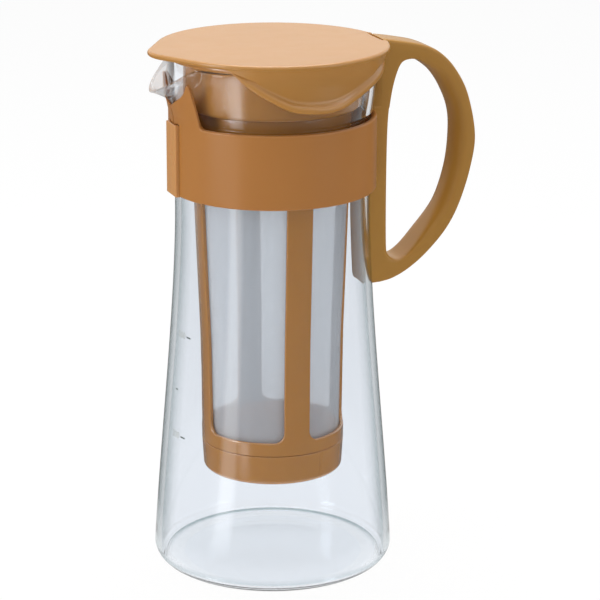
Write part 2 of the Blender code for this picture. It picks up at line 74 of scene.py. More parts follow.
def rounded(radius, height, size, start, end, count):
    # Points of an arc of the given size about (radius, height), from one angle in degrees to another.
    return [(radius + size * c, height + size * s) for c, s in zip(*arc(start, end, count))]


def turned(rows, angles):
    # Rows of (radius, height), each a number or one value for each angle, become a grid round the axis.
    radii = np.array([radius + np.zeros_like(angles) for radius, height in rows])
    heights = np.array([height + np.zeros_like(angles) for radius, height in rows])
    return polar(radii, angles[None, :], heights)


def gridMesh(name, points, wrapRows=False, wrapCols=False, uv=None):
    # Quads between neighbouring points of a (rows, columns, 3) grid; a wrapped side joins its last to its first.
    rows, cols = points.shape[:2]
    i = np.arange(rows if wrapRows else rows - 1)[:, None]
    j = np.arange(cols if wrapCols else cols - 1)[None, :]
    nextI, nextJ = (i + 1) % rows, (j + 1) % cols
    quads = np.stack(np.broadcast_arrays(i * cols + j, i * cols + nextJ, nextI * cols + nextJ, nextI * cols + j), -1)
    quads = quads.reshape(-1, 4)
    mesh = bpy.data.meshes.new(name)
    mesh.vertices.add(rows * cols)
    mesh.vertices.foreach_set("co", points.astype(np.float32).ravel())
    mesh.loops.add(quads.size)
    mesh.loops.foreach_set("vertex_index", quads.astype(np.int32).ravel())
    mesh.polygons.add(len(quads))
    mesh.polygons.foreach_set("loop_start", np.arange(0, quads.size, 4, dtype=np.int32))
    mesh.update(calc_edges=True)
    if uv is not None:
        layer = mesh.uv_layers.new(name="surface")
        layer.data.foreach_set("uv", uv.reshape(-1, 2)[quads.ravel()].astype(np.float32).ravel())
    return mesh


def sealed(name, meshes, sharpDegrees, capOpenEnds):
    # Several grids become one closed mesh: doubles merged, open ends filled, faces outward, edges softened.
    bm = bmesh.new()
    for mesh in meshes:
        bm.from_mesh(mesh)
        bpy.data.meshes.remove(mesh)
    bmesh.ops.remove_doubles(bm, verts=bm.verts, dist=weldDistance)
    bmesh.ops.dissolve_degenerate(bm, edges=bm.edges, dist=weldDistance)
    if capOpenEnds:
        bmesh.ops.holes_fill(bm, edges=[edge for edge in bm.edges if edge.is_boundary], sides=0)
    bmesh.ops.recalc_face_normals(bm, faces=bm.faces)
    joined = bpy.data.meshes.new(name)
    bm.to_mesh(joined)
    openEdges = sum(edge.is_boundary for edge in bm.edges)
    bm.free()
    joined.shade_smooth()
    joined.set_sharp_from_angle(angle=math.radians(sharpDegrees))
    print(f"  {name}: {len(joined.polygons)} faces, {openEdges} open edges")
    return joined


def newObject(name, data):
    thing = bpy.data.objects.new(name, data)
    bpy.context.scene.collection.objects.link(thing)
    return thing


def addPiece(name, meshes, sharpDegrees, material, body, slot, *nodes, capOpenEnds=False):
    mesh = sealed(name, meshes, sharpDegrees, capOpenEnds)
    piece = newObject(name, mesh)
    mesh.materials.append(material)
    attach(piece, body)
    if nodes:
        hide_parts(*nodes)
    return piece


def srgb(code):
    # A written colour such as b27d4b as linear light.
    parts = np.array([int(code[i:i + 2], 16) / 255 for i in (0, 2, 4)])
    linear = np.where(parts <= 0.04045, parts / 12.92, ((parts + 0.055) / 1.055) ** 2.4)
    return (*linear.tolist(), 1.0)


# Materials

def newMaterial(name):
    material = bpy.data.materials.new(name)
    material.use_nodes = True
    tree = material.node_tree
    return material, tree, tree.nodes["Principled BSDF"]


def feed(tree, node, inputs):
    # Each named or numbered input takes a link from another node's output, or a plain value.
    for name, value in inputs.items():
        if isinstance(value, bpy.types.NodeSocket):
            tree.links.new(value, node.inputs[name])
        else:
            node.inputs[name].default_value = value


def addNode(tree, kind, inputs=None, **settings):
    node = tree.nodes.new("ShaderNode" + kind)
    for name, value in settings.items():
        setattr(node, name, value)
    feed(tree, node, inputs or {})
    return node


def objectPlace(tree):
    return addNode(tree, "TexCoord").outputs["Object"]


def mathNode(tree, operation, *values):
    return addNode(tree, "Math", dict(enumerate(values)), operation=operation).outputs[0]


def vectorMath(tree, operation, *values):
    outputs = addNode(tree, "VectorMath", dict(enumerate(values)), operation=operation).outputs
    return outputs["Value" if operation in ("DOT_PRODUCT", "LENGTH") else "Vector"]


def noise(tree, coordinates, scale, detail=2.0, stretch=(1.0, 1.0, 1.0)):
    mapping = addNode(tree, "Mapping", {"Vector": coordinates, "Scale": stretch})
    inputs = {"Vector": mapping.outputs["Vector"], "Scale": scale, "Detail": detail}
    return addNode(tree, "TexNoise", inputs).outputs["Fac"]


def ranged(tree, value, low, high, fromLow=0.3, fromHigh=0.7):
    inputs = {"Value": value, "From Min": fromLow, "From Max": fromHigh, "To Min": low, "To Max": high}
    return addNode(tree, "MapRange", inputs).outputs["Result"]


def mixLevel(tree, factor, first, second, kind="FLOAT"):
    return addNode(tree, "Mix", {"Factor": factor, "A": first, "B": second}, data_type=kind).outputs["Result"]


def mixColour(tree, factor, first, second):
    return mixLevel(tree, factor, srgb(first), srgb(second), "RGBA")


def addBump(tree, shader, height, strength, depth):
    bump = addNode(tree, "Bump", {"Height": height, "Strength": strength, "Distance": depth})
    feed(tree, shader, {"Normal": bump.outputs["Normal"]})


def mouldedPlastic(name, colour, paler, look):
    # Polypropylene: soft flow marks in the colour, a fine satin grain, and a gloss that wanders a little.
    material, tree, shader = newMaterial(name)
    place = objectPlace(tree)
    flow = ranged(tree, noise(tree, place, look["flowScale"], 3.0, (1.0, 1.0, look["flowStretch"])), 0.0, 1.0, 0.2, 0.8)
    glossiest, dullest = look["roughness"] - look["glossSpread"], look["roughness"] + look["glossSpread"]
    addBump(tree, shader, noise(tree, place, look["grainScale"], 3.0), look["grainStrength"], look["grainDepth"])
    feed(tree, shader, {
        "Base Color": mixColour(tree, flow, colour, paler),
        "Roughness": ranged(tree, noise(tree, place, look["glossScale"]), glossiest, dullest, 0.2, 0.8),
        "IOR": look["ior"], "Specular IOR Level": look["shine"],
        "Coat Weight": look["coat"], "Coat Roughness": look["coatRoughness"], "Subsurface Weight": look["glow"],
        "Subsurface Radius": look["glowRadius"], "Subsurface Scale": look["glowScale"],
    })
    return material


def clearGlass(look):
    # Clear glass, greener and darker where it is seen edge on, though not at the thin mouth. Shadow and diffuse rays
    # pass straight through, and so does a share of the view at the spout's tight curl.
    material, tree, shader = newMaterial("clearGlass")
    place = objectPlace(tree)
    spot = addNode(tree, "SeparateXYZ", {"Vector": place}).outputs
    facing = addNode(tree, "LayerWeight", {"Blend": look["edgeBlend"]}).outputs["Facing"]
    edge = mathNode(tree, "MULTIPLY", ranged(tree, facing, 0.0, 1.0, look["edgeFrom"], look["edgeTo"]),
                    ranged(tree, spot["Z"], 1.0, 0.0, *look["thinFrom"]))
    rays = addNode(tree, "LightPath").outputs
    through = mathNode(tree, "MAXIMUM", rays["Is Shadow Ray"], rays["Is Diffuse Ray"])
    curl = mathNode(tree, "MULTIPLY", ranged(tree, spot["X"], look["straight"], 0.0, *look["curlX"]),
                    ranged(tree, spot["Z"], 0.0, 1.0, *look["thinFrom"]))
    clear = mathNode(tree, "MAXIMUM", mathNode(tree, "MULTIPLY", through, look["through"]), curl)
    waves = noise(tree, place, look["waveScale"], 1.0, (1.0, 1.0, look["waveStretch"]))
    addBump(tree, shader, waves, look["waveStrength"], look["waveDepth"])
    feed(tree, shader, {
        "Base Color": mixColour(tree, edge, look["middle"], look["edge"]),
        "Alpha": mathNode(tree, "SUBTRACT", 1.0, clear), "Transmission Weight": 1.0,
        "Roughness": look["roughness"], "IOR": look["ior"],
    })
    return material


def filterCloth(look):
    # Plain woven filter cloth: round threads both ways from sin squared of the surface's own metres, open between them.
    material, tree, shader = newMaterial("filterCloth")
    surface = addNode(tree, "UVMap", uv_map="surface").outputs["UV"]
    spot = addNode(tree, "SeparateXYZ", {"Vector": surface}).outputs
    waves = [mathNode(tree, "SINE", mathNode(tree, "MULTIPLY", spot[axis], math.pi / look["pitch"])) for axis in "XY"]
    weave = mathNode(tree, "MAXIMUM", *(mathNode(tree, "MULTIPLY", wave, wave) for wave in waves))
    cloud = noise(tree, surface, look["cloudScale"], 2.0, (1.0, look["cloudStretch"], 1.0))
    addBump(tree, shader, weave, look["weaveStrength"], look["weaveDepth"])
    feed(tree, shader, {
        "Base Color": mixColour(tree, ranged(tree, cloud, 0.0, 1.0, 0.2, 0.8), look["dark"], look["light"]),
        "Alpha": ranged(tree, weave, look["openAlpha"], look["threadAlpha"], 0.25, 0.85),
        "Roughness": look["roughness"], "Sheen Weight": look["sheen"],
    })
    return material


def inkMaterial(name, dark, light):
    # Print that wears a little unevenly.
    material, tree, shader = newMaterial(name)
    wear = ranged(tree, noise(tree, objectPlace(tree), inkLook["wearScale"]), 0.0, 1.0)
    feed(tree, shader, {"Base Color": mixColour(tree, wear, dark, light), "Roughness": inkLook["roughness"]})
    return material


plasticLook = {
    "roughness": 0.32, "shine": 0.45, "glossSpread": 0.02, "glossScale": 140.0, "flowScale": 22.0, "flowStretch": 0.45,
    "grainScale": 1800.0, "grainStrength": 0.08, "grainDepth": 0.00003, "ior": 1.49,
    "glow": 0.10, "glowRadius": (1.0, 0.45, 0.2), "glowScale": 0.0015, "coat": 0.0, "coatRoughness": 0.2,
}
glassLook = {
    "middle": "f5f8fc", "edge": "8a9da0", "edgeBlend": 0.5, "edgeFrom": 0.54, "edgeTo": 0.86, "through": 0.99,
    "thinFrom": (0.182, 0.187), "straight": 0.6, "curlX": (-0.0385, -0.034),
    "waveStrength": 0.02, "waveDepth": 0.0004, "waveScale": 24.0, "waveStretch": 0.4,
    "roughness": 0.0, "ior": 1.47,
}
clothLook = {
    "pitch": 0.00042, "cloudScale": 70.0, "cloudStretch": 0.12, "dark": "d6dbe2", "light": "e3e8ed",
    "openAlpha": 0.08, "threadAlpha": 0.44,
    "weaveStrength": 0.25, "weaveDepth": 0.0001, "roughness": 0.55, "sheen": 0.2,
}
inkLook = {"wearScale": 900.0, "roughness": 0.5}
bodyPlastic = mouldedPlastic("bodyPlastic", "aa7035", "b07639", plasticLook)
handlePlastic = mouldedPlastic("handlePlastic", "a57733", "ab7d37", {**plasticLook, "shine": 0.32})
# The clasp is the band's plastic made paler: painted light for its flat face, which turns towards the key light.
claspPaintedLighter = mouldedPlastic("claspPaintedLighter", "c2894e", "c88f54", plasticLook)
lidPlastic = mouldedPlastic("lidPlastic", "ae782e", "b47e36", {**plasticLook, "roughness": 0.3, "shine": 0.8})
strainerPlastic = mouldedPlastic("strainerPlastic", "b37933", "b97f38",
                                 {**plasticLook, "roughness": 0.22, "shine": 0.85, "coat": 1.0})
glassMaterial = clearGlass(glassLook)
clothMaterial = filterCloth(clothLook)


# Camera at the photograph's view: it looks at the axis from 20 degrees off the side, on the spout's side

cameraPlace = {"distance": 0.9967, "height": 0.4028, "tiltDegrees": 16.52, "turnDegrees": -20.0,
               "lens": 156.72, "shiftX": 27.4 / 600}


def fromCamera(right, away, height):
    # A point given to the right of and beyond the object as the camera sees it.
    turn = math.radians(-cameraPlace["turnDegrees"])
    return (right * math.cos(turn) + away * math.sin(turn), away * math.cos(turn) - right * math.sin(turn), height)


def addCamera():
    data = bpy.data.cameras.new("camera")
    data.lens = cameraPlace["lens"]
    data.sensor_width = 36.0
    data.shift_x = cameraPlace["shiftX"]
    camera = newObject("camera", data)
    camera.location = fromCamera(0.0, -cameraPlace["distance"], cameraPlace["height"])
    tilt, turn = math.radians(90 - cameraPlace["tiltDegrees"]), math.radians(cameraPlace["turnDegrees"])
    camera.rotation_euler = (tilt, 0.0, turn)
    bpy.context.scene.camera = camera


addCamera()


# Glass carafe

glass = {
    "wall": 0.0024, "floor": 0.0026, "foot": 0.041, "heel": 0.007, "neck": 0.0384, "neckZ": 0.145, "fall": 0.5,
    "mouthZ": 0.184, "mouth": 0.0412, "rimZ": 0.206, "spoutReach": 0.0086, "spoutDip": 0.0097,
    "spoutHalf": math.radians(28), "spoutCurl": 8, "recess": 0.0007, "recessR": 0.036,
    "floorR": 0.0439, "ring": 0.0003, "ringWidth": 0.0006,
}


def spoutWeight(angle):
    # cos squared over the spout's half angle: 1 in its middle, 0 from its sides on.
    turn = np.minimum(angle % tau, tau - angle % tau)
    return np.cos(np.clip(turn / glass["spoutHalf"], 0, 1) * math.pi / 2) ** 2


def bodyRadius(height):
    # The wall leans in from the heel to the neck, and the lean dies away near the neck.
    share = np.clip((height - glass["heel"]) / (glass["neckZ"] - glass["heel"]), 0, 1)
    spread = glass["foot"] + glass["heel"] - glass["neck"]
    return glass["neck"] + spread * (1 - share) ** (1 + glass["fall"] * share)


def mouthHeight(angle):
    return glass["rimZ"] - glass["mouthZ"] - glass["spoutDip"] * spoutWeight(angle)


def mouthRadius(rise, angle):
    flare = (glass["mouth"] - glass["neck"]) * rise
    return glass["neck"] + flare + glass["spoutReach"] * spoutWeight(angle) * rise ** glass["spoutCurl"]


def glassRadius(height, angle):
    rise = np.sqrt(np.clip((height - glass["mouthZ"]) / mouthHeight(angle), 0, 1))
    return np.where(height <= glass["mouthZ"], bodyRadius(height), mouthRadius(rise, angle))


def roundAngles():
    # Once round the mouth, closer together across the spout.
    half = glass["spoutHalf"]
    return np.concatenate([np.linspace(-half, half, 101)[:-1], np.linspace(half, tau - half, 221)[:-1]])


def carafeGrid():
    # Rows run from the middle of the underside, up the outside, over the rim and down to the middle of the floor.
    # Each row is r(angle), z(angle): a shallow dish, a quarter round heel, the leaning wall, the flare that rises
    # with the square of its share and reaches out at the spout with its power spoutCurl, and a half round rim.
    angles = roundAngles()
    wall, heel, foot = glass["wall"], glass["heel"], glass["foot"]
    top = mouthHeight(angles) - wall / 2

    def side(inset, floor, flat):
        reach = foot + heel - inset - flat
        rows = [(flat + reach * math.sin(turn), floor + reach - reach * math.cos(turn))
                for turn in np.linspace(0, math.pi / 2, 14)]
        rows += [(bodyRadius(height) - inset, height) for height in np.linspace(heel, glass["mouthZ"], 46)[1:]]
        return rows + [(mouthRadius(rise, angles) - inset, glass["mouthZ"] + top * rise ** 2)
                       for rise in np.linspace(0, 1, 26)[1:]]

    rows = [(glass["recessR"] * share, glass["recess"] * (1 - share ** 2)) for share in np.linspace(0, 1, 7)]
    rows += [((glass["recessR"] + foot) / 2, 0.0)] + side(0.0, 0.0, foot)
    rows += rounded(mouthRadius(1.0, angles) - wall / 2, glass["mouthZ"] + top, wall / 2, 0, 180, 15)[1:-1]
    rows += side(wall, glass["floor"], glass["floorR"])[::-1]
    rows += [(glass["floorR"] - glass["ringWidth"] * share, glass["floor"] - glass["ring"] * math.sin(math.pi * share))
             for share in np.linspace(0, 1, 7)[1:]]
    rows += [(glass["floorR"] * share, glass["floor"]) for share in (0.9, 0.6, 0.3, 0.0)]
    return turned(rows, angles)


addPiece("carafeGlass", [gridMesh("carafe", carafeGrid(), wrapCols=True)], 60,
         glassMaterial, "carafe", "glass", "carafe")


# Printed graduation: ticks and plain numbers, wrapped on the glass

graduation = {
    "lift": 0.00004, "thick": 0.00003, "tickHeight": 0.0006, "digitSize": 0.0037,
    "ticks": ((0.0988, 14.3, 18.1), (0.0764, 6.6, 8.4), (0.0583, 14.3, 18.1)),
    "numbers": ((0.0988, 13.1, "500"), (0.0583, 13.1, "300")),
}


def wrapOnGlass(flat, height, endAngle):
    # Flat x is arc length towards the handle on the near side, flat y is height, flat z stands off the glass.
    z = height + flat[:, 1]
    radius = bodyRadius(z) + graduation["lift"] + flat[:, 2]
    return polar(radius, -endAngle - flat[:, 0] / radius, z)


def tickMesh(height, startDegrees, endDegrees):
    span = math.radians(endDegrees - startDegrees) * float(bodyRadius(height))
    steps = 9
    x = np.linspace(-span, 0, steps)
    half, thick = graduation["tickHeight"] / 2, graduation["thick"]
    ring = np.array([(-half, 0), (half, 0), (half, thick), (-half, thick)])
    flat = np.stack([np.repeat(x, 4), np.tile(ring[:, 0], steps), np.tile(ring[:, 1], steps)], -1)
    points = wrapOnGlass(flat, height, math.radians(endDegrees)).reshape(steps, 4, 3)
    return gridMesh("tick", points, wrapCols=True)


def numberMesh(height, endDegrees, text):
    curve = bpy.data.curves.new("number", "FONT")
    curve.body = text
    curve.size = graduation["digitSize"]
    curve.align_x, curve.align_y = "RIGHT", "CENTER"
    curve.extrude = graduation["thick"] / 2
    curve.resolution_u = 4
    writing = newObject("number", curve)
    bpy.context.view_layer.update()
    mesh = bpy.data.meshes.new_from_object(writing.evaluated_get(bpy.context.evaluated_depsgraph_get()))
    bpy.data.objects.remove(writing)
    flat = np.zeros(len(mesh.vertices) * 3, np.float32)
    mesh.vertices.foreach_get("co", flat)
    mesh.vertices.foreach_set("co", wrapOnGlass(flat.reshape(-1, 3).astype(float), height, math.radians(endDegrees))
                              .astype(np.float32).ravel())
    mesh.materials.clear()
    return mesh


addPiece("graduationTicks", [tickMesh(*tick) for tick in graduation["ticks"]], 30,
         inkMaterial("tickInk", "56615f", "646f6d"), "carafe", "glass", capOpenEnds=True)
addPiece("graduationNumbers", [numberMesh(*number) for number in graduation["numbers"]], 30,
         inkMaterial("numberInk", "a3a9a6", "b3b8b5"), "carafe", "glass", capOpenEnds=True)


# Neck band: a collar round the neck with two arms that rise beside the spout

band = {
    "wall": 0.002, "bottomZ": 0.1541, "topZ": 0.1833, "armHalf": math.radians(29), "armHeight": 0.0165,
    "armWall": 0.0011,
    "angleShares": (0.0, 0.17, 0.34, 0.52, 0.655, 0.69, 0.72, 0.8, 0.865, 0.91, 1.0),
    "heightShares": (0.39, 0.46, 0.57, 0.715, 0.92, 1.0, 0.98, 0.67, 0.39, 0.12, 0.0),
    "split": 0.0006, "edge": 0.00085, "grooveX": 0.0396, "grooveIn": 0.00265, "grooveOut": 0.006, "grooveTop": 0.1827,
    "step": 0.0002, "fineHalf": 1.05 * math.radians(29),
}


def bandTop(angle):
    turn = np.minimum(angle % tau, tau - angle % tau)
    share = np.clip(turn / band["armHalf"], 0, 1)
    return band["topZ"] + band["armHeight"] * smoothCurve(share, band["angleShares"], band["heightShares"])


def bandGrid():
    # Each column is a wall section at one angle: up the outside, round the top edge, down the inside, round the foot.
    # Beside each rail at the split the outside is cut back to a flat groove, x = -grooveX, for the clasp's lips.
    bandR = glass["neck"] + gap + band["wall"]
    split = math.asin(band["split"] / 2 / bandR)
    half = band["fineHalf"]
    step = band["step"]
    grooveIn, grooveOut = math.asin(band["grooveIn"] / bandR), math.asin(band["grooveOut"] / bandR)
    near = np.concatenate([np.linspace(split, grooveIn, 7), np.linspace(grooveIn + step, grooveOut, 9),
                           np.linspace(grooveOut + step, half, 76)[:-1]])
    angles = np.concatenate([near, np.linspace(half, tau - half, 240), tau - near[::-1]])
    turn = np.minimum(angles, tau - angles)
    grooved = (turn > grooveIn + step / 2) & (turn < grooveOut + step / 2)
    top, edge, low = bandTop(angles), band["edge"], band["bottomZ"]
    share = edge / band["wall"]
    shelf = np.minimum(band["grooveTop"], top - edge - step)

    def wallRow(height, offset):
        inner = glassRadius(height, angles) + gap
        outer = np.maximum(inner + band["armWall"], bandR)
        outer = np.where(grooved & (height <= shelf), band["grooveX"] / np.cos(turn), outer)
        return inner + (outer - inner) * offset, height

    def edgeRows(start, end, middle, outward):
        return [wallRow(middle + edge * s, (1 - share if outward else share) + share * c)
                for c, s in zip(*arc(start, end, 7))]

    rise = top - low - 2 * edge
    rows = [wallRow(low + edge + (shelf - low - edge) * up, 1.0) for up in np.linspace(0, 1, 14)]
    rows += [wallRow(shelf + step / 2 + (top - edge - shelf - step / 2) * up, 1.0) for up in np.linspace(0, 1, 22)[:-1]]
    rows += edgeRows(0, 90, top - edge, True) + edgeRows(90, 180, top - edge, False)
    rows += [wallRow(low + edge + rise * up, 0.0) for up in np.linspace(1, 0, 34)[1:-1]]
    rows += edgeRows(180, 270, low + edge, False) + edgeRows(270, 360, low + edge, True)[:-1]
    return turned(rows, angles)


addPiece("neckBand", [gridMesh("band", bandGrid(), wrapRows=True)], 45,
         bodyPlastic, "carafe", "handle_plastic", "handle_band", capOpenEnds=True)


# Handle: a strap carried round the finger opening, its back following the glass

handle = {
    "halfWidth": 0.00725, "faceX": 0.0455, "span": 0.0384, "topZ": 0.211, "footZ": 0.1117,
    "endX": 0.0434, "backX": 0.0419, "follow": 0.0006, "ledgeZ": 0.2083, "rootX": 0.0372, "fit": 0.0004, "section": 8.0,
    "crown": 2.1, "crownFrom": 0.053, "crownTo": 0.071, "crownDepth": 0.3, "even": 13,
    "outerShares": ((0.17, 0.985), (0.41, 0.963), (0.60, 0.925), (0.77, 0.855), (0.91, 0.75), (1.0, 0.585),
                    (0.955, 0.45), (0.84, 0.309), (0.70, 0.207), (0.50, 0.12), (0.29, 0.055), (0.09, 0.015)),
    "innerShares": ((0.013, 0.19), (0.013, 0.60), (0.052, 0.77), (0.142, 0.882), (0.255, 0.908), (0.395, 0.895),
                    (0.563, 0.85), (0.70, 0.77), (0.79, 0.68), (0.811, 0.585), (0.78, 0.46), (0.69, 0.34),
                    (0.573, 0.255), (0.415, 0.177), (0.267, 0.118), (0.148, 0.094), (0.045, 0.115)),
}


def gripPoints(shares):
    across, up = np.array(shares).T
    return np.stack([handle["faceX"] + handle["span"] * across,
                     handle["footZ"] + (handle["topZ"] - handle["footZ"]) * up], -1)


def splineThrough(points, perSpan, closed):
    # Points on cubics between neighbours, each slope half the step from the point before to the point after.
    count = len(points)
    if closed:
        before, after, after2 = np.roll(points, 1, 0), np.roll(points, -1, 0), np.roll(points, -2, 0)
        start = points
    else:
        padded = np.concatenate([[2 * points[0] - points[1]], points, [2 * points[-1] - points[-2]]])
        before, start, after, after2 = padded[:-3], padded[1:-2], padded[2:-1], padded[3:]
        count -= 1
    t = (np.arange(perSpan) / perSpan)[None, :, None]
    p0, p1, p2, p3 = (p[:count, None, :] for p in (before, start, after, after2))
    curve = 0.5 * (2 * p1 + (p2 - p0) * t + (2 * p0 - 5 * p1 + 4 * p2 - p3) * t ** 2
                   + (3 * p1 - p0 - 3 * p2 + p3) * t ** 3)
    return curve.reshape(-1, 2)


def evenly(points, count):
    # The same closed line with its points at equal steps.
    ring = np.concatenate([points, points[:1]])
    length = np.concatenate([[0], np.cumsum(np.linalg.norm(np.diff(ring, axis=0), axis=1))])
    at = np.linspace(0, length[-1], count + 1)[:-1]
    return np.stack([np.interp(at, length, ring[:, k]) for k in (0, 1)], -1)


def castOutward(points, normals, outline):
    # Where the ray from each inner point along its normal first leaves the closed outline.
    a, b = outline, np.roll(outline, -1, 0)
    edge = b - a
    cross = normals[:, None, 0] * edge[None, :, 1] - normals[:, None, 1] * edge[None, :, 0]
    cross = np.where(np.abs(cross) < 1e-12, 1e-12, cross)
    toEdge = a[None] - points[:, None]
    reach = (toEdge[..., 0] * edge[None, :, 1] - toEdge[..., 1] * edge[None, :, 0]) / cross
    along = (toEdge[..., 0] * normals[:, None, 1] - toEdge[..., 1] * normals[:, None, 0]) / cross
    hit = (along >= -1e-9) & (along <= 1 + 1e-9) & (reach > 0)
    return points + normals * np.where(hit, reach, np.inf).min(1)[:, None]


def handleGrid():
    # Round the finger opening the strap's section is a superellipse between the inner line and the outer line:
    # depth = cos ** (2 / n), width = sin ** (2 / n), each with its sign kept. Towards the far limb n falls on the
    # inner side, where the section grows softly crowned and a little deeper. The back's points then move along X
    # until they lie against the round glass: x = sqrt(shell ^ 2 - y ^ 2).
    inner = evenly(splineThrough(gripPoints(handle["innerShares"]), 24, True), 420)
    grip = np.concatenate([[(handle["endX"], handle["topZ"])], gripPoints(handle["outerShares"]),
                           [(handle["backX"], handle["footZ"])]])
    outerGrip = splineThrough(grip, 24, False)
    back = np.array([(handle["backX"], handle["footZ"]), (handle["rootX"], handle["footZ"] + 0.0012),
                     (handle["rootX"], glass["mouthZ"]), (handle["backX"], glass["mouthZ"]),
                     (handle["backX"], handle["ledgeZ"]), (handle["endX"], handle["ledgeZ"])])
    outline = np.concatenate([outerGrip, back])
    step = np.roll(inner, -1, 0) - np.roll(inner, 1, 0)
    normals = np.stack([step[:, 1], -step[:, 0]], -1) / np.linalg.norm(step, axis=1)[:, None]
    middle = inner.mean(0)
    if ((inner - middle) * normals).sum() < 0:
        normals = -normals
    # Each direction is the mean of its neighbours', so that the sections never cross at a tight corner.
    reachOut = range(-handle["even"], handle["even"] + 1)
    normals = sum(np.roll(normals, shift, 0) for shift in reachOut) / len(reachOut)
    outer = castOutward(inner, normals, outline)
    turn = np.linspace(0, tau, 65)[None, :-1]
    soft = np.clip((inner[:, 0] - handle["crownFrom"]) / (handle["crownTo"] - handle["crownFrom"]), 0, 1)[:, None]
    soft = soft * soft * (3 - 2 * soft) * (np.cos(turn) < 0)
    power = 2 / (handle["section"] + (handle["crown"] - handle["section"]) * soft)
    depth = np.sign(np.cos(turn)) * np.abs(np.cos(turn)) ** power * (1 + handle["crownDepth"] * soft)
    y = np.sign(np.sin(turn)) * np.abs(np.sin(turn)) ** power * handle["halfWidth"]
    centre, reach = (inner + outer) / 2, (outer - inner) / 2
    flat = centre[:, None] + reach[:, None] * depth[..., None]
    x, z = flat[..., 0], flat[..., 1]
    shell = glassRadius(z, math.pi) + handle["fit"]
    against = np.sqrt(shell ** 2 - y ** 2)
    back = x < handle["backX"] + handle["follow"]
    return np.stack([np.where(back, against + np.maximum(x - handle["backX"], 0), np.maximum(x, against)), y, z], -1)


addPiece("handleLoop", [gridMesh("handle", handleGrid(), True, True)], 60, handlePlastic,
         "carafe", "handle_plastic")


# Clasp: a flat plate over the band's two ends, with a small moulding pip

clasp = {"faceX": 0.0418, "halfWidth": 0.0057, "bottomZ": 0.1541, "topZ": 0.1824, "plate": 0.0008, "lipY": 0.00295,
         "lipDepth": 0.0019, "edge": 0.0003, "corner": 0.0004, "pipZ": 0.1702, "pipR": 0.00055, "pipRise": 0.00025,
         "pipSunk": 0.2, "cornerShares": (1, 1, 0.6, 0.6, 0.3, 0.3, 0.6, 0.6)}


def softened(corners, radius, perCorner=5):
    # Each corner of a closed outline becomes a short curve: a quadratic from one side to the other.
    before, after = np.roll(corners, 1, 0) - corners, np.roll(corners, -1, 0) - corners
    start = corners + before / np.linalg.norm(before, axis=1)[:, None] * radius
    end = corners + after / np.linalg.norm(after, axis=1)[:, None] * radius
    t = np.linspace(0, 1, perCorner)[None, :, None]
    return ((1 - t) ** 2 * start[:, None] + 2 * t * (1 - t) * corners[:, None] + t ** 2 * end[:, None]).reshape(-1, 2)


def claspSection(inset):
    # Seen from above: a plate with a lip behind each side, drawn smaller by the inset.
    wide, lipY = clasp["halfWidth"] - inset, clasp["lipY"] + inset
    plate, back = clasp["plate"] - inset, clasp["lipDepth"] - inset
    corners = np.array([(inset, -wide), (inset, wide), (back, wide), (back, lipY), (plate, lipY), (plate, -lipY),
                        (back, -lipY), (back, -wide)])
    return softened(corners, (clasp["corner"] - inset) * np.array(clasp["cornerShares"])[:, None])


def claspGrid():
    # The section is carried up the band and drawn in round its two ends.
    edge, low, high = clasp["edge"], clasp["bottomZ"], clasp["topZ"]
    rows = [(low + edge * (1 - s), edge * (1 - c)) for c, s in zip(*arc(90, 0, 6))]
    rows += [(high - edge * (1 - s), edge * (1 - c)) for c, s in zip(*arc(0, 90, 6))]
    grid = []
    for height, inset in rows:
        section = claspSection(inset)
        grid.append(np.stack([section[:, 0] - clasp["faceX"], section[:, 1], np.full(len(section), height)], -1))
    return np.array(grid)


def pipGrid():
    # A low dome: radius r cos t, rise h sin t.
    angles = np.linspace(0, tau, 17)[:-1]
    radius, top = clasp["pipR"], clasp["pipRise"]
    rows = [(radius, -top)] + [(radius * c, top * s) for c, s in zip(*arc(0, 90, 6))]
    return np.array([np.stack([np.full(len(angles), -clasp["faceX"] + top * clasp["pipSunk"] - rise),
                               r * np.cos(angles), clasp["pipZ"] + r * np.sin(angles)], -1) for r, rise in rows])


claspMeshes = [gridMesh("plate", claspGrid(), wrapCols=True), gridMesh("pip", pipGrid(), wrapCols=True)]
addPiece("claspPlate", claspMeshes, 45, claspPaintedLighter, "clasp", "clasp_plastic", "band_clasp", capOpenEnds=True)


# Lid: a disc drawn out over the spout, with a finger skirt on each side and a plug ring beneath

lid = {
    "topZ": 0.211, "thickness": 0.0024, "radius": 0.0455, "tipR": 0.05, "tipRound": 0.016, "notchX": 0.0431,
    "notchHalf": 0.00785, "edge": 0.0011, "underShare": 0.8,
    "crown": 0.0003, "plugR": 0.0328, "plugWall": 0.0012, "plugDepth": 0.0056,
    "skirtInner": 0.0415, "skirtWall": 0.0012, "root": 0.4, "cove": 0.0021, "coveHeight": 0.0076, "drop": 0.0175,
    "skirtStart": math.radians(48), "skirtSpan": math.radians(120), "lipOut": 0.002, "lipHeight": 0.0042,
    "lipShares": (0.0, 0.08, 0.22, 0.45, 0.62, 0.75, 0.9, 1.0), "lipSwell": (0.3, 0.7, 0.95, 1.0, 0.9, 0.62, 0.2, 0.0),
    "spanShares": (0.0, 0.03, 0.07, 0.12, 0.19, 0.27, 0.35, 0.42, 0.49, 0.56, 0.65, 0.75, 0.87, 0.95, 1.0),
    "dropShares": (0.06, 0.19, 0.36, 0.53, 0.73, 0.92, 0.985, 1.0, 0.95, 0.83, 0.68, 0.55, 0.4, 0.22, 0.06),
}


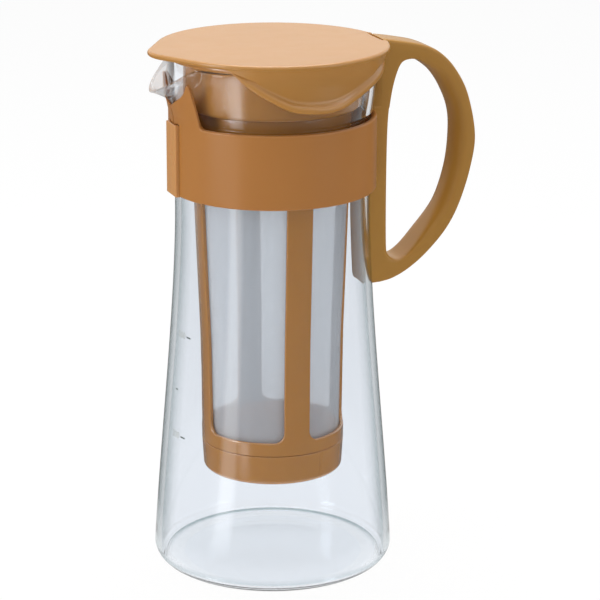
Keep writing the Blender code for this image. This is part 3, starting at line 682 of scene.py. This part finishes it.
def lidOutline():
    # A circle, two straight tangents to a small round tip over the spout, and a flat notch at the handle.
    tipX = lid["tipR"] - lid["tipRound"]
    tangent = math.acos((lid["radius"] - lid["tipRound"]) / tipX)
    notch = math.asin(lid["notchHalf"] / lid["radius"])
    side = np.linspace(notch, math.pi - tangent, 110)
    tip = np.linspace(math.pi - tangent, math.pi, 26)[1:]
    half = np.concatenate([
        np.stack([np.full(6, lid["notchX"]), np.linspace(0, lid["notchHalf"], 6)], -1),
        np.stack([lid["radius"] * np.cos(side), lid["radius"] * np.sin(side)], -1),
        np.stack([lid["tipRound"] * np.cos(tip) - tipX, lid["tipRound"] * np.sin(tip)], -1),
    ])
    other = half[1:-1][::-1] * (1, -1)
    return np.concatenate([half, other])


def lidGrid():
    # Rows go from the middle of the top, over the round edge, to the middle of the underside.
    # The top is crowned by a small height times one less the square of the share of the way out.
    outline = lidOutline()
    step = np.roll(outline, -1, 0) - np.roll(outline, 1, 0)
    normal = np.stack([step[:, 1], -step[:, 0]], -1) / np.linalg.norm(step, axis=1)[:, None]
    edge, top = lid["edge"], lid["topZ"]
    under, below = top - lid["thickness"], edge * lid["underShare"]
    rim = outline - normal * edge
    rows = []
    for share in (0.0, 0.15, 0.3, 0.45, 0.6, 0.72, 0.82, 0.9, 0.96, 1.0):
        rows.append((rim * share, top - lid["crown"] * share ** 2))
    for c, s in list(zip(*arc(90, 0, 9)))[1:]:
        rows.append((rim + normal * edge * c, top - lid["crown"] - edge + edge * s))
    for c, s in zip(*arc(0, -90, 9)):
        rows.append((rim + normal * edge * c, under + below + below * s))
    for share in (0.96, 0.85, 0.7, 0.5, 0.25, 0.0):
        rows.append((rim * share, under))
    return np.array([np.concatenate([ring, np.full((len(ring), 1), height)], -1) for ring, height in rows])


def skirtGrid(side):
    # At each angle round the side, a section: inner wall, rolled lip at the foot, wall, and a cove up to the rim,
    # wall + cove * rise ^ 2, which runs out in the disc's upright edge.
    share = np.linspace(0, 1, 150)
    angles = side * (lid["skirtStart"] + lid["skirtSpan"] * share)
    drop = np.clip(smoothCurve(share, lid["spanShares"], lid["dropShares"]), 0.03, 1)
    under = lid["topZ"] - lid["thickness"]
    low = under - lid["drop"] * drop
    lip = np.minimum(lid["lipHeight"], (under - low) / 2)
    inner, half = lid["skirtInner"], lid["skirtWall"] * 0.5
    wall = inner + lid["skirtWall"]
    rows = [(inner, under + lid["thickness"] * lid["root"]), (inner, low + lip * 0.3)]
    rows += [(inner + half * (1 + c), low + lip * 0.3 * (1 + s)) for c, s in list(zip(*arc(180, 270, 6)))[1:]]
    ups = np.linspace(0.0, 1.0, 15)
    for up, swell in zip(ups, smoothCurve(ups, lid["lipShares"], lid["lipSwell"])):
        turnedIn = half * (1 - min(up * 6, 1)) ** 2
        rows.append((wall + lid["lipOut"] * swell * drop - turnedIn, low + lip * up))
    crest = under + lid["edge"]
    for up in np.linspace(0, 1, 15)[1:]:
        height = low + lip + (crest - low - lip) * up
        rise = np.clip(height - under + lid["coveHeight"], 0, None) / lid["coveHeight"]
        rows.append((wall + lid["cove"] * rise ** 2, height))
    rows.append((wall, crest))
    return turned(rows, angles)


def plugGrid():
    # A thin ring turned round the axis, its foot rounded.
    angles = np.linspace(0, tau, 181)[:-1]
    high, low = lid["topZ"] - lid["thickness"] / 2, lid["topZ"] - lid["thickness"] - lid["plugDepth"]
    half = lid["plugWall"] / 2
    profile = [(lid["plugR"], high)] + rounded(lid["plugR"] - half, low + half, half, 0, -180, 9)
    return turned(profile + [(lid["plugR"] - 2 * half, high)], angles)


lidMeshes = [gridMesh("disc", lidGrid(), wrapCols=True), gridMesh("plug", plugGrid(), True, True)]
skirtMeshes = [gridMesh("skirt", skirtGrid(side), wrapRows=True) for side in (1, -1)]
addPiece("lidMoulding", lidMeshes + skirtMeshes, 50, lidPlastic, "lid", "lid_plastic", "lid", capOpenEnds=True)


# Strainer frame: cup, flange, four ribs and an end ring, one moulding

strainer = {
    "cupR": 0.0348, "cupBottomZ": 0.187, "cupRound": 0.002, "flangeR": 0.0409, "flangeZ": 0.2063, "flange": 0.002,
    "underRound": 0.0006, "overRound": 0.0008, "mouthRound": 0.0007, "wellRound": 0.001, "throatEdge": 0.0005,
    "wall": 0.0015, "shoulderZ": 0.157, "waistZ": 0.095, "endZ": 0.0514,
    "topR": 0.0314, "waistR": 0.029, "endR": 0.0284,
    "windowTop": 0.172, "windowBottom": 0.0567, "corner": 0.004, "rib": 0.0106, "edge": 0.00045, "windows": 4,
}


def frameRadius(height):
    return np.interp(height, [strainer["endZ"], strainer["waistZ"], strainer["shoulderZ"], strainer["cupBottomZ"]],
                     [strainer["endR"], strainer["waistR"], strainer["topR"], strainer["topR"]])


def windowSide(height):
    # Half the window's angle: a quarter turn shared by two windows, less half a rib.
    return math.pi / strainer["windows"] - np.arcsin(strainer["rib"] / 2 / frameRadius(height))


def windowLines(inset):
    # The window's rounded outline, grown by the inset, and the matching line round its share of the frame.
    low, high = strainer["windowBottom"] - inset, strainer["windowTop"] + inset
    corner = strainer["corner"] + inset
    quarter = math.pi / strainer["windows"]
    endZ, cupZ = strainer["endZ"], strainer["cupBottomZ"]

    def at(z, fromSide):
        return windowSide(z) + (inset - fromSide) / frameRadius(z)

    def cornerPoints(side, up):
        # Round a corner from the window's side; the other line goes up its own side first, then across.
        z0, wallZ = (high - corner, cupZ) if up > 0 else (low + corner, endZ)
        insideAngle = at(z0, corner)
        points = []
        for turn in np.linspace(0, math.pi / 2, 13):
            share = turn / (math.pi / 2)
            if share <= 0.5:
                angle, z = quarter, z0 + (wallZ - z0) * share * 2
            else:
                angle, z = quarter + (insideAngle - quarter) * (share - 0.5) * 2, wallZ
            hole = side * at(z0, corner * (1 - math.cos(turn))), z0 + up * corner * math.sin(turn)
            points.append((hole, (side * angle, z)))
        return points

    sides = np.linspace(low + corner, high - corner, 40)
    tops = np.linspace(-1, 1, 14)
    topAngle, lowAngle = at(high - corner, corner), at(low + corner, corner)
    loop = [((at(z, 0.0), z), (quarter, z)) for z in sides[:-1]] + cornerPoints(1, 1)
    loop += [((topAngle * share, high), (topAngle * share, cupZ)) for share in -tops[1:-1]]
    loop += cornerPoints(-1, 1)[::-1] + [((-at(z, 0.0), z), (-quarter, z)) for z in sides[::-1][1:-1]]
    loop += cornerPoints(-1, -1)
    loop += [((lowAngle * share, low), (lowAngle * share, endZ)) for share in tops[1:-1]]
    loop += cornerPoints(1, -1)[::-1][:-1]
    holes, blocks = zip(*loop)
    return np.array(holes), np.array(blocks)


def windowGrid(middle):
    # Columns follow the window's outline; rows run from the frame's outer face, round the window's outer edge,
    # through the wall, round its inner edge, and back across the inner face.
    edge, wall = strainer["edge"], strainer["wall"]
    rows = []
    flush, block = windowLines(edge)
    for share in np.linspace(1, 0, 5):
        rows.append((flush + (block - flush) * share, 0.0))
    for c, s in list(zip(*arc(0, 90, 5)))[1:]:
        rows.append((windowLines(edge * (1 - s))[0], edge * (1 - c)))
    for c, s in list(zip(*arc(90, 0, 5))):
        rows.append((windowLines(edge * (1 - s))[0], wall - edge * (1 - c)))
    for share in np.linspace(0, 1, 5)[1:]:
        rows.append((flush + (block - flush) * share, wall))
    flat = np.array([r for r, depth in rows])
    depth = np.array([d for r, d in rows])[:, None]
    return polar(frameRadius(flat[..., 1]) - depth, middle + flat[..., 0], flat[..., 1])


def edgeAngles(level):
    # The angles at which the windows' shares of the frame meet the cup or the end ring, at the level given.
    _, block = windowLines(strainer["edge"])
    own = np.unique(np.round(block[np.abs(block[:, 1] - level) < 1e-9, 0], 12))
    return np.concatenate([middle + own[:-1] for middle in windowMiddles])


def cupProfile():
    # From the frame's outer face at the cup's bottom, out, up, over the flange, and down the inside again.
    s = strainer
    flangeTop, wellZ = s["flangeZ"] + s["flange"], s["cupBottomZ"] + s["wall"]
    inner, throat = s["cupR"] - s["wall"], s["topR"] - s["wall"]
    under, over, mouth, well, edge = (s[name] for name in (
        "underRound", "overRound", "mouthRound", "wellRound", "throatEdge"))
    profile = [(s["topR"], s["cupBottomZ"])]
    profile += rounded(s["cupR"] - s["cupRound"], s["cupBottomZ"] + s["cupRound"], s["cupRound"], -90, 0, 9)
    profile += [(s["cupR"], z) for z in np.linspace(s["cupBottomZ"] + s["cupRound"], s["flangeZ"], 9)[1:]]
    profile += rounded(s["flangeR"] - under, s["flangeZ"] + under, under, -90, 0, 5)
    profile += rounded(s["flangeR"] - over, flangeTop - over, over, 0, 90, 6)
    profile += rounded(inner + mouth, flangeTop - mouth, mouth, 90, 180, 6)
    profile += [(inner, z) for z in np.linspace(flangeTop - mouth, wellZ + well, 9)[1:]]
    profile += rounded(inner - well, wellZ + well, well, 0, -90, 6)
    return profile + [(throat + edge, wellZ), (throat, wellZ - edge), (throat, s["cupBottomZ"])]


def endProfile():
    # The end ring's flat foot, from the outer face to the inner face.
    half = strainer["wall"] / 2
    return [(strainer["endR"] - half + half * c, strainer["endZ"]) for c in arc(0, 180, 5)[0]]


windowMiddles = [math.pi / 4 + math.pi / 2 * k for k in range(strainer["windows"])]
frameMeshes = [gridMesh("window", windowGrid(middle), wrapCols=True) for middle in windowMiddles]
frameMeshes += [gridMesh("cup", turned(cupProfile(), edgeAngles(strainer["cupBottomZ"])), wrapCols=True),
                gridMesh("end", turned(endProfile(), edgeAngles(strainer["endZ"])), wrapCols=True)]
addPiece("strainerFrame", frameMeshes, 40, strainerPlastic, "strainer", "strainer_plastic", "strainer_frame")


# Filter cloth: a thin sleeve just inside the ribs

cloth = {"thickness": 0.0004, "margin": 0.002, "lowMargin": 0.0005}


def clothGrid():
    # Out of the frame's radius less the wall and the gap; the outer and the inner face are a thread's thickness apart.
    angles = np.linspace(0, tau, 241)
    high, low = strainer["windowTop"] + cloth["margin"], strainer["windowBottom"] - cloth["lowMargin"]
    heights = np.linspace(high, low, 90)
    outer = frameRadius(heights) - strainer["wall"] - gap
    radii = np.concatenate([outer, (outer - cloth["thickness"])[::-1]])
    heights = np.concatenate([heights, heights[::-1]])
    points = polar(radii[:, None], angles[None, :], heights[:, None])
    uv = np.stack(np.broadcast_arrays(angles[None, :] * strainer["waistR"], heights[:, None]), -1)
    return points, uv


clothPoints, clothUv = clothGrid()
addPiece("filterSleeve", [gridMesh("cloth", clothPoints, wrapRows=True, uv=clothUv)], 60,
         clothMaterial, "strainer", "filter_mesh", "strainer_mesh")


# Strainer cap: a shallow cup with four fine marks, its spigot inside the end ring

cap = {"bottomZ": 0.039, "topZ": 0.0511, "bottomR": 0.0278, "topR": 0.0284, "round": 0.002, "wall": 0.0015,
       "spigotR": 0.0266, "spigotWall": 0.0013, "spigotZ": 0.0553, "markDepth": 0.00022, "markWidth": 0.0005,
       "markAngle": math.radians(68), "marks": 4, "markReach": 0.045, "markFade": 0.25, "edge": 0.0003, "lead": 0.0002}


def capGrid():
    # A profile turned round the axis; each mark is a narrow bell cut into the wall: depth * exp(-(offset / width)^2).
    marks = cap["markAngle"] + np.arange(cap["marks"]) * tau / cap["marks"]
    fine = (marks[:, None] + np.linspace(-cap["markReach"], cap["markReach"], 25)[None]).ravel() % tau
    angles = np.unique(np.concatenate([np.linspace(0, tau, 181)[:-1], fine]))
    offset = np.abs((angles[:, None] - marks[None] + math.pi) % tau - math.pi).min(1) * cap["topR"]
    bell = np.exp(-(offset / cap["markWidth"]) ** 2) * cap["markDepth"]
    inner, floorZ, edge = cap["spigotR"] - cap["spigotWall"], cap["bottomZ"] + cap["wall"], cap["edge"]
    wallTop, wallBottom = cap["topZ"] - edge, cap["bottomZ"] + cap["round"]
    above = [(0.0, floorZ), (inner, floorZ), (inner, cap["spigotZ"]), (cap["spigotR"], cap["spigotZ"] - cap["lead"]),
             (cap["spigotR"], cap["topZ"])] + rounded(cap["topR"] - edge, wallTop, edge, 90, 0, 5)
    shares = np.linspace(0, 1, 24)[1:]
    side = [(cap["topR"] + (cap["bottomR"] - cap["topR"]) * share, wallTop + (wallBottom - wallTop) * share)
            for share in shares]
    below = rounded(cap["bottomR"] - cap["round"], wallBottom, cap["round"], 0, -90, 10)[1:]
    below += [(cap["bottomR"] * share, cap["bottomZ"]) for share in (0.6, 0.3, 0.0)]
    # The marks run down the side only, and fade in and out at its ends.
    fade = np.sin(math.pi * np.minimum(shares * 0.98 + 0.02, 1.0)) ** cap["markFade"]
    depth = np.concatenate([np.zeros(len(above)), fade, np.zeros(len(below))])[:, None]
    radii, heights = np.array(above + side + below).T[..., None]
    return polar(radii - bell * depth, angles[None, :], heights)


addPiece("strainerCap", [gridMesh("cap", capGrid(), wrapCols=True)], 45, strainerPlastic,
         "strainer_cap", "cap_plastic", "strainer_cap")


# Studio: pale floor, soft lights, and a surround that is white to the camera and dimmer to reflections

studio = {
    "ambient": 0.5, "surround": 1.0, "skyGloss": 1.08, "skyTurn": (-0.02, 0.12), "dim": 0.18, "inside": 0.12,
    "aside": 0.95, "asideReach": (0.026, 0.037), "near": 0.95, "nearReach": (0.055, 0.1), "streakTurnDegrees": 43.0,
    "streakWide": math.cos(math.radians(10)), "streakCore": math.cos(math.radians(4)), "streak": 1.5,
    "streakInside": 1.9, "streakFrom": (0.09, 0.15), "floorSize": 6.0, "floorLift": 0.92,
    "floorDark": "f4f4f4", "floorLight": "f7f7f7", "floorScale": 3.0, "floorRoughness": 0.8, "floorShine": 0.1,
}


def softBox(name, right, away, height, aimZ, width, tall, watts):
    data = bpy.data.lights.new(name, "AREA")
    data.shape = "RECTANGLE"
    data.size, data.size_y = width, tall
    data.energy = watts
    lamp = newObject(name, data)
    lamp.location = fromCamera(right, away, height)
    direction = lamp.location.copy()
    direction.z -= aimZ
    lamp.rotation_euler = direction.to_track_quat("Z", "Y").to_euler()


def addFloor():
    # The camera, and rays that only pass through the glass, see white. Reflections see a dim table with one bright
    # streak towards the key light, as a polished table would show it; within the glass they see it half lit.
    half = studio["floorSize"] / 2
    x, y = np.meshgrid(np.linspace(-half, half, 3), np.linspace(-half, half, 3))
    mesh = gridMesh("floor", np.stack([x, y, np.zeros_like(x)], -1))
    material, tree, shader = newMaterial("paleFloor")
    place = objectPlace(tree)
    tone = ranged(tree, noise(tree, place, studio["floorScale"]), 0.0, 1.0)
    feed(tree, shader, {
        "Base Color": mixColour(tree, tone, studio["floorDark"], studio["floorLight"]),
        "Roughness": studio["floorRoughness"], "Specular IOR Level": studio["floorShine"],
    })
    rays = addNode(tree, "LightPath").outputs
    turn = math.radians(studio["streakTurnDegrees"])
    toKey = fromCamera(-math.sin(turn), -math.cos(turn), 0.0)
    streak = ranged(tree, vectorMath(tree, "DOT_PRODUCT", vectorMath(tree, "NORMALIZE", place), toKey), 0.0, 1.0,
                    studio["streakWide"], studio["streakCore"])
    away = ranged(tree, vectorMath(tree, "LENGTH", place), 0.0, 1.0, *studio["streakFrom"])
    reflected = mathNode(tree, "GREATER_THAN", rays["Glossy Depth"], 0.5)
    inside = mathNode(tree, "GREATER_THAN", rays["Transmission Depth"], 0.5)
    streak = mathNode(tree, "MULTIPLY", mathNode(tree, "MULTIPLY", streak, away),
                      mixLevel(tree, inside, studio["streak"], studio["streakInside"]))
    # How far from the axis a ray set out sideways: |x * dy - y * dx| for the point (x, y) and the direction (dx, dy).
    cross = vectorMath(tree, "CROSS_PRODUCT", place, addNode(tree, "NewGeometry").outputs["Incoming"])
    offset = mathNode(tree, "ABSOLUTE", vectorMath(tree, "DOT_PRODUCT", cross, (0.0, 0.0, 1.0)))
    aside = mixLevel(tree, ranged(tree, offset, 0.0, 1.0, *studio["asideReach"]), studio["inside"], studio["aside"])
    near = ranged(tree, vectorMath(tree, "LENGTH", place), 1.0, 0.0, *studio["nearReach"])
    table = mixLevel(tree, near, mixLevel(tree, inside, studio["dim"], aside), studio["near"])
    table = mathNode(tree, "ADD", streak, table)
    glow = addNode(tree, "Emission", {"Strength": mixLevel(tree, reflected, studio["surround"], table)})
    seen = mathNode(tree, "MAXIMUM", rays["Is Camera Ray"], rays["Is Glossy Ray"])
    seen = mathNode(tree, "MAXIMUM", seen, rays["Is Transmission Ray"])
    share = mathNode(tree, "MULTIPLY", seen, mixLevel(tree, reflected, studio["floorLift"], 1.0))
    mixer = addNode(tree, "MixShader", {0: share, 1: shader.outputs[0], 2: glow.outputs[0]})
    feed(tree, tree.nodes["Material Output"], {"Surface": mixer.outputs[0]})
    mesh.materials.append(material)
    floor = newObject("floor", mesh)


def addWorld():
    # Even light for diffuse surfaces. The camera sees white, straight or through the glass; a reflection sees a
    # bright sky over a dim horizon.
    world = bpy.data.worlds.new("surround")
    bpy.context.scene.world = world
    world.use_nodes = True
    tree = world.node_tree
    rays = addNode(tree, "LightPath").outputs
    height = vectorMath(tree, "DOT_PRODUCT", addNode(tree, "TexCoord").outputs["Generated"], (0.0, 0.0, 1.0))
    reflected = mathNode(tree, "GREATER_THAN", rays["Glossy Depth"], 0.5)
    inside = mathNode(tree, "GREATER_THAN", rays["Transmission Depth"], 0.5)
    sky = ranged(tree, height, 0.0, 1.0, *studio["skyTurn"])
    gloss = mixLevel(tree, sky, mixLevel(tree, inside, studio["dim"], studio["inside"]), studio["skyGloss"])
    through = mixLevel(tree, reflected, studio["surround"], gloss)
    level = mixLevel(tree, rays["Is Glossy Ray"], studio["ambient"], gloss)
    level = mixLevel(tree, rays["Is Transmission Ray"], level, through)
    level = mixLevel(tree, rays["Is Camera Ray"], level, studio["surround"])
    feed(tree, tree.nodes["Background"], {"Color": (1.0, 1.0, 1.0, 1.0), "Strength": level})


addFloor()
addWorld()
softBox("keyBox", -0.87, -0.5, 0.42, 0.12, 0.24, 0.9, 3.7)
softBox("topBox", 0.0, 0.2, 1.1, 0.1, 0.9, 0.9, 10.0)
softBox("fillBox", 0.9, -0.5, 0.4, 0.12, 0.5, 0.8, 1.2)
bpy.context.scene.view_settings.view_transform = "Standard"
